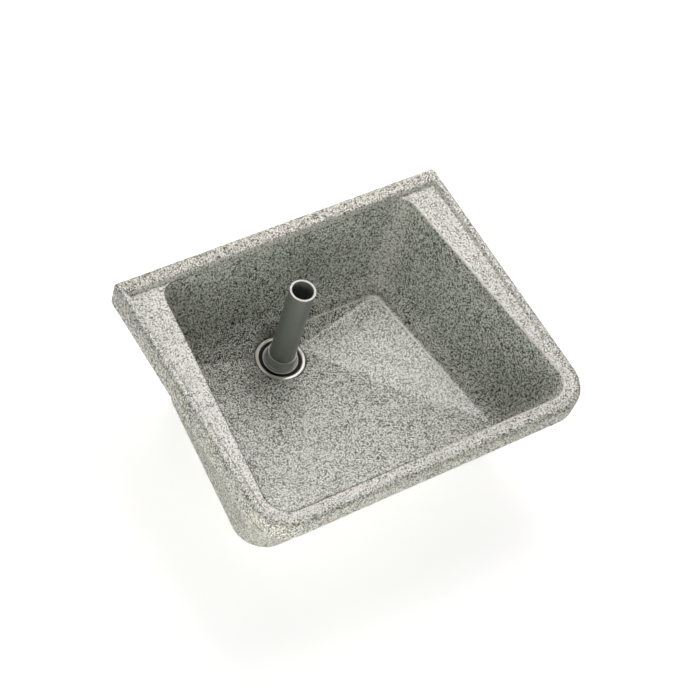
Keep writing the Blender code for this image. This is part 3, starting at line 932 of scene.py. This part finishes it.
def makeBasin(material):
    size = stoneBasin
    pile = basinRings()
    count = len(pile.rings[0])
    shape = bmesh.new()
    rows = [[shape.verts.new(point) for point in ring] for ring in pile.rings]
    for lower, upper in zip(rows, rows[1:] + rows[:1]):
        for index in range(count):
            following = (index + 1) % count
            shape.faces.new((lower[index], lower[following], upper[following], upper[index]))
    bmesh.ops.recalc_face_normals(shape, faces=shape.faces)
    shape.normal_update()
    keepOut = size["pocketRadius"]
    for row in rows:
        for point in row:
            # a cast surface is never quite flat, except where the drain seats and under the foot
            away = min((point.co - drain).xy.length - keepOut, point.co.z * 4) / keepOut
            if away > 0:
                wave = noise.noise(point.co * size["waveScale"]) * size["castWave"]
                grit = noise.noise(point.co * size["gritScale"]) * size["castGrit"]
                point.co += point.normal * (wave + grit) * min(away * 2, 1)
    mesh = bpy.data.meshes.new("stone_basin")
    shape.to_mesh(mesh)
    shape.free()
    for place, name in enumerate(markNames):
        values = [value for rows in pile.marks for value in rows[place]]
        mesh.attributes.new(name, "FLOAT", "POINT").data.foreach_set("value", values)
    return newPiece("stone_basin", mesh, material, "basin", ["basin"])


# Turned pieces
def softened(profile, radius, steps=3):
    # rounds each corner of a closed profile of (radius, height) points, as far as its sides let it
    points = [Vector(point) for point in profile]
    result = []
    for index, corner in enumerate(points):
        before, after = points[index - 1], points[(index + 1) % len(points)]
        cutBefore = min(radius, (before - corner).length * 0.45)
        cutAfter = min(radius, (after - corner).length * 0.45)
        start = corner + (before - corner).normalized() * cutBefore
        end = corner + (after - corner).normalized() * cutAfter
        for step in range(steps + 1):
            share = step / steps
            result.append(start.lerp(corner, share).lerp(corner.lerp(end, share), share))
    return result


def turnedMesh(name, profile, steps=144, shaped=None):
    # shaped may change a point's radius by its radius, height and angle
    shape = bmesh.new()
    rows = []
    for step in range(steps):
        angle = 2 * math.pi * step / steps
        way = Vector((math.cos(angle), math.sin(angle)))
        row = []
        for point in profile:
            radius = shaped(point.x, point.y, angle) if shaped else point.x
            row.append(shape.verts.new((drain.x + way.x * radius, drain.y + way.y * radius, point.y)))
        rows.append(row)
    count = len(profile)
    for current, following in zip(rows, rows[1:] + rows[:1]):
        for index in range(count):
            after = (index + 1) % count
            shape.faces.new((current[index], following[index], following[after], current[after]))
    bmesh.ops.recalc_face_normals(shape, faces=shape.faces)
    mesh = bpy.data.meshes.new(name)
    shape.to_mesh(mesh)
    shape.free()
    return mesh


drainFlange = {
    "rimWidth": 0.0055,
    "crown": 0.0005,
    "flat": 0.0018,
    "edge": 0.0007,
    "tailRadius": 0.0335,
    "tailWall": 0.003,
    "ledgeHeight": 0.0355,
    "flangeBottom": 0.0330,
    "threadPitch": 0.002,
    "threadDepth": 0.0005,
    "threadTop": 0.030,
    "threadSteps": 90,
}


def makeDrainFlange(material):
    size = drainFlange
    radius = (flangeHigh.x - flangeLow.x) / 2
    mouth, top, foot = radius - size["rimWidth"], flangeHigh.z, flangeLow.z
    bore = size["tailRadius"] - size["tailWall"]
    middle = (radius + mouth) / 2
    outline = softened([
        (mouth, top - size["crown"]),
        (middle - size["flat"], top),
        (middle + size["flat"], top),
        (radius, top - size["crown"]),
        (radius, size["flangeBottom"]),
        (size["tailRadius"], size["flangeBottom"]),
    ], size["edge"])
    threadSteps = size["threadSteps"]
    for step in range(threadSteps + 1):
        height = size["threadTop"] + (foot - size["threadTop"]) * step / threadSteps
        outline.append(Vector((size["tailRadius"], height)))
    ledge = size["ledgeHeight"]
    outline += softened([(bore, foot), (bore, ledge), (mouth, ledge)], size["edge"] / 3)

    def threaded(pointRadius, height, angle):
        if abs(pointRadius - size["tailRadius"]) > gap or height > size["threadTop"]:
            return pointRadius
        turn = (height / size["threadPitch"] + angle / (2 * math.pi)) % 1
        return pointRadius - size["threadDepth"] * (1 - abs(2 * turn - 1))

    mesh = turnedMesh("drain_flange", outline, shaped=threaded)
    return newPiece("drain_flange", mesh, material, "basin", ["drain_body"])


flatRings = {
    "rubberEdge": 0.0004,
    "fibreEdge": 0.0002,
    "sealEdge": 0.0009,
}


def makeFlatRing(name, node, inner, material, edge, body="basin"):
    # gasket, washers and seal take their outside and thickness from their nodes
    low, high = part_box(node)
    outer = (high.x - low.x) / 2
    outline = softened([(inner, high.z), (outer, high.z), (outer, low.z), (inner, low.z)], edge, steps=4)
    return newPiece(name, turnedMesh(name, outline), material, body, [node])


ringNut = {
    "bodyRadius": 0.0395,
    "lugs": 8,
    "lugWidth": 0.012,
    "lugShoulder": 0.0012,
    "edge": 0.0007,
    "clearance": 0.0003,
}


def makeRingNut(material):
    size = ringNut
    reach = (nutHigh.x - nutLow.x) / 2
    inner = drainFlange["tailRadius"] + size["clearance"]
    outline = softened([(inner, nutHigh.z), (reach, nutHigh.z), (reach, nutLow.z), (inner, nutLow.z)],
                       size["edge"], steps=4)

    def lugged(radius, height, angle):
        if radius < (inner + reach) / 2:
            return radius
        spacing = 2 * math.pi / size["lugs"]
        away = abs((angle + spacing / 2) % spacing - spacing / 2) * size["bodyRadius"]
        share = fromTo((size["lugWidth"] / 2 - away) / size["lugShoulder"], -0.5, 0.5)
        return radius - (reach - size["bodyRadius"]) * (1 - share * share * (3 - 2 * share))

    mesh = turnedMesh("ring_nut", outline, steps=384, shaped=lugged)
    return newPiece("ring_nut", mesh, material, "basin", ["lock_nut"])


pipePlug = {
    "discBottom": 0.0389,
    "discTop": 0.0415,
    "seatHeight": 0.0355,
    "keeperWall": 0.0025,
    "keeperRadius": 0.0298,
    "neckRadius": 0.027,
    "guideTaper": 0.003,
    "socketWall": 0.0026,
    "socketFlare": 0.0012,
    "filletSteps": 6,
    "filletSize": 0.0018,
    "dishing": 0.0005,
    "lipWidth": 0.0013,
    "lipRise": 0.0006,
    "edge": 0.0006,
    # the disc's painted highlight rings, for the finish
    "highlightIn": 0.0046,
    "highlightHalf": 0.0006,
    "highlightRise": 0.0016,
    "highlightShare": 0.65,
}
overflowPipe = {
    "wall": 0.0036,
    "edge": 0.0005,
}


def makePipePlug(material):
    size = pipePlug
    disc = (plugHigh.x - plugLow.x) / 2
    pipeRadius = (pipeHigh.x - pipeLow.x) / 2
    bore, socketBore = pipeRadius - overflowPipe["wall"], pipeRadius + gap
    socket = socketBore + size["socketWall"]
    foot = socket + size["socketFlare"]
    top, seat, shelf = plugHigh.z, size["seatHeight"], pipeLow.z - gap
    # a hollow fillet runs from the socket into the dished disc, which has a thin lip
    dish = size["discTop"] - size["dishing"]
    fillet = []
    for step in range(size["filletSteps"] + 1):
        turn = math.pi / 2 * step / size["filletSteps"]
        fillet.append((foot + size["filletSize"] / 2 - size["filletSize"] * math.sin(math.pi / 2 - turn) / 2,
                       dish + size["filletSize"] * (1 - math.sin(turn))))
    outline = softened([
        (socket, top),
        *fillet,
        (disc - 2 * size["lipWidth"], dish),
        (disc - size["lipWidth"], size["discTop"] + size["lipRise"]),
        (disc - size["lipWidth"] / 3, size["discTop"] + size["lipRise"]),
        (disc, size["discTop"] - size["dishing"]),
        (disc, size["discBottom"]),
        (size["neckRadius"], size["discBottom"]),
        (size["neckRadius"], seat),
        (size["keeperRadius"], seat),
        (size["keeperRadius"], seat - size["keeperWall"]),
        (size["neckRadius"], seat - size["keeperWall"]),
        (size["neckRadius"] - size["guideTaper"], plugLow.z),
        (bore, plugLow.z),
        (bore, shelf),
        (socketBore, shelf),
        (socketBore, top),
    ], size["edge"], steps=4)
    mesh = turnedMesh("pipe_plug", outline)
    return newPiece("pipe_plug", mesh, material, "standpipe", ["standpipe_plug"])


def makeOverflowPipe(material):
    radius = (pipeHigh.x - pipeLow.x) / 2
    bore = radius - overflowPipe["wall"]
    ends = softened([(radius, pipeHigh.z), (radius, pipeLow.z), (bore, pipeLow.z), (bore, pipeHigh.z)],
                    overflowPipe["edge"], steps=4)
    mesh = turnedMesh("overflow_pipe", ends)
    return newPiece("overflow_pipe", mesh, material, "standpipe", ["standpipe_tube"])


def plugHighlightRings():
    # painted highlights: the lip of the disc and a ring inside it are painted pale
    size = pipePlug
    disc = (plugHigh.x - plugLow.x) / 2
    highest, lip = size["discTop"] + size["highlightRise"], size["lipWidth"]
    return ((disc - 0.6 * lip, 0.8 * lip, highest, 1.0),
            (disc - size["highlightIn"], size["highlightHalf"], highest, size["highlightShare"]))


blackRubber = makeRubber("blackRubber", blackRubberLook)
sealRubber = makeRubber("sealRubber", sealRubberLook)
plugGrey = makeGreyPlastic("plugGrey", plugGreyLook, plugHigh.z, plugHighlightRings())
pipeGrey = makeGreyPlastic("pipeGrey", pipeGreyLook, pipeHigh.z)
print("rubber and grey plastics made")

makeBasin(makeStone())
print("basin built")

makeDrainFlange(makeIvory())
tailClear = drainFlange["tailRadius"] + gap
neckClear = pipePlug["neckRadius"] + gap
rubberEdge, fibreEdge, sealEdge = flatRings.values()
makeFlatRing("rubber_gasket", "flange_gasket", tailClear, blackRubber, rubberEdge)
makeFlatRing("rubber_washer", "lower_washer", tailClear, blackRubber, rubberEdge)
makeFlatRing("fibre_washer", "slip_washer", tailClear, makeFibre(), fibreEdge)
makeRingNut(makeNutPlastic())
makeFlatRing("rubber_ring", "plug_seal", neckClear, sealRubber, sealEdge, body="seal")
print("drain built")

makePipePlug(plugGrey)
makeOverflowPipe(pipeGrey)
print("standpipe built")


# Stage
studio = {
    "floorSide": 12.0,
    "floorColour": (0.80, 0.80, 0.80),
    "floorGlow": 0.27,
    "floorSeen": 0.67,
    "aim": (0.0, 0.0, 0.15),
    "lampDistance": 1.8,
    "keyColour": (1.0, 0.957, 0.945),
    "fillColour": (0.995, 1.0, 0.94),
    "lamps": {
        # name: (heading, height in degrees, side, watts, colour)
        "main": (66, 59, 0.8, 8.0, "keyColour"),
        "right": (30, 59, 0.7, 4.4, "keyColour"),
        "top": (45, 71, 0.7, 4.1, "keyColour"),
        "left": (105, 59, 0.7, 1.8, "keyColour"),
        "lowBehind": (69, 35, 0.9, 6.6, "keyColour"),
        "lowRight": (24, 35, 0.9, 3.3, "keyColour"),
        "fill": (220, 15, 1.1, 14.8, "fillColour"),
        "frontFill": (270, 15, 0.7, 2.6, "fillColour"),
    },
}


def makeFloor():
    bpy.ops.mesh.primitive_plane_add(size=studio["floorSide"])
    floor = bpy.context.object
    floor.name = "studio_floor"
    material, tree, shader, place = newMaterial("floorPaint", Roughness=0.9)
    shader.inputs["Base Color"].default_value = (*studio["floorColour"], 1)
    shader.inputs["Emission Color"].default_value = (1, 1, 1, 1)
    # the floor glows more for the camera and for mirrors than it lights the sink
    rays = addNode(tree, "LightPath").outputs
    mirrored = maths(tree, "MAXIMUM", rays["Is Glossy Ray"], rays["Is Transmission Ray"])
    seen = maths(tree, "MAXIMUM", rays["Is Camera Ray"], mirrored)
    strength = addNode(tree, "MapRange")
    tree.links.new(seen, strength.inputs["Value"])
    strength.inputs["To Min"].default_value = studio["floorGlow"]
    strength.inputs["To Max"].default_value = studio["floorSeen"]
    tree.links.new(strength.outputs[0], shader.inputs["Emission Strength"])
    floor.data.materials.append(material)


def makeSky():
    world = bpy.data.worlds.new("studioSky")
    bpy.context.scene.world = world
    world.use_nodes = True
    tree = world.node_tree
    background = tree.nodes["Background"]
    background.inputs["Color"].default_value = (1, 1, 1, 1)
    tree.links.new(addNode(tree, "LightPath").outputs["Is Camera Ray"], background.inputs["Strength"])


def makeLamps():
    aim = Vector(studio["aim"])
    for name, (heading, height, side, watts, colour) in studio["lamps"].items():
        data = bpy.data.lights.new(name, "AREA")
        data.shape = "SQUARE"
        data.size = side
        data.energy = watts
        data.color = studio[colour]
        lamp = bpy.data.objects.new(name, data)
        bpy.context.scene.collection.objects.link(lamp)
        turn, rise = math.radians(heading), math.radians(height)
        away = Vector((math.cos(turn) * math.cos(rise), math.sin(turn) * math.cos(rise), math.sin(rise)))
        lamp.location = aim + away * studio["lampDistance"]
        lamp.rotation_euler = away.to_track_quat("Z", "Y").to_euler()


# The camera stands front left and above, and is turned about its own line of sight
viewpoint = {
    "target": (0.0074, 0.0200, 0.2),
    "distance": 3.5803,
    "heading": 41.504,
    "tilt": 53.663,
    "roll": 20.528,
    "focalPixels": 2282.0,
    "imagePixels": 696,
    "sensor": 36.0,
    "farthest": 50,
}


def makeCamera():
    view = viewpoint
    heading, tilt = math.radians(view["heading"]), math.radians(view["tilt"])
    level = math.cos(tilt)
    forward = Vector((math.cos(heading) * level, math.sin(heading) * level, -math.sin(tilt)))
    side = forward.cross(Vector((0, 0, 1))).normalized()
    upright = side.cross(forward)
    roll = math.radians(view["roll"])
    right = side * math.cos(roll) + upright * math.sin(roll)
    up = upright * math.cos(roll) - side * math.sin(roll)
    data = bpy.data.cameras.new("camera")
    data.sensor_width = view["sensor"]
    data.lens = view["focalPixels"] * view["sensor"] / view["imagePixels"]
    data.clip_end = view["farthest"]
    camera = bpy.data.objects.new("camera", data)
    bpy.context.scene.collection.objects.link(camera)
    matrix = Matrix((right, up, -forward)).transposed().to_4x4()
    matrix.translation = Vector(view["target"]) - forward * view["distance"]
    camera.matrix_world = matrix
    bpy.context.scene.camera = camera


makeFloor()
makeSky()
makeLamps()
makeCamera()
bpy.context.scene.view_settings.view_transform = "Standard"
print("stage set")
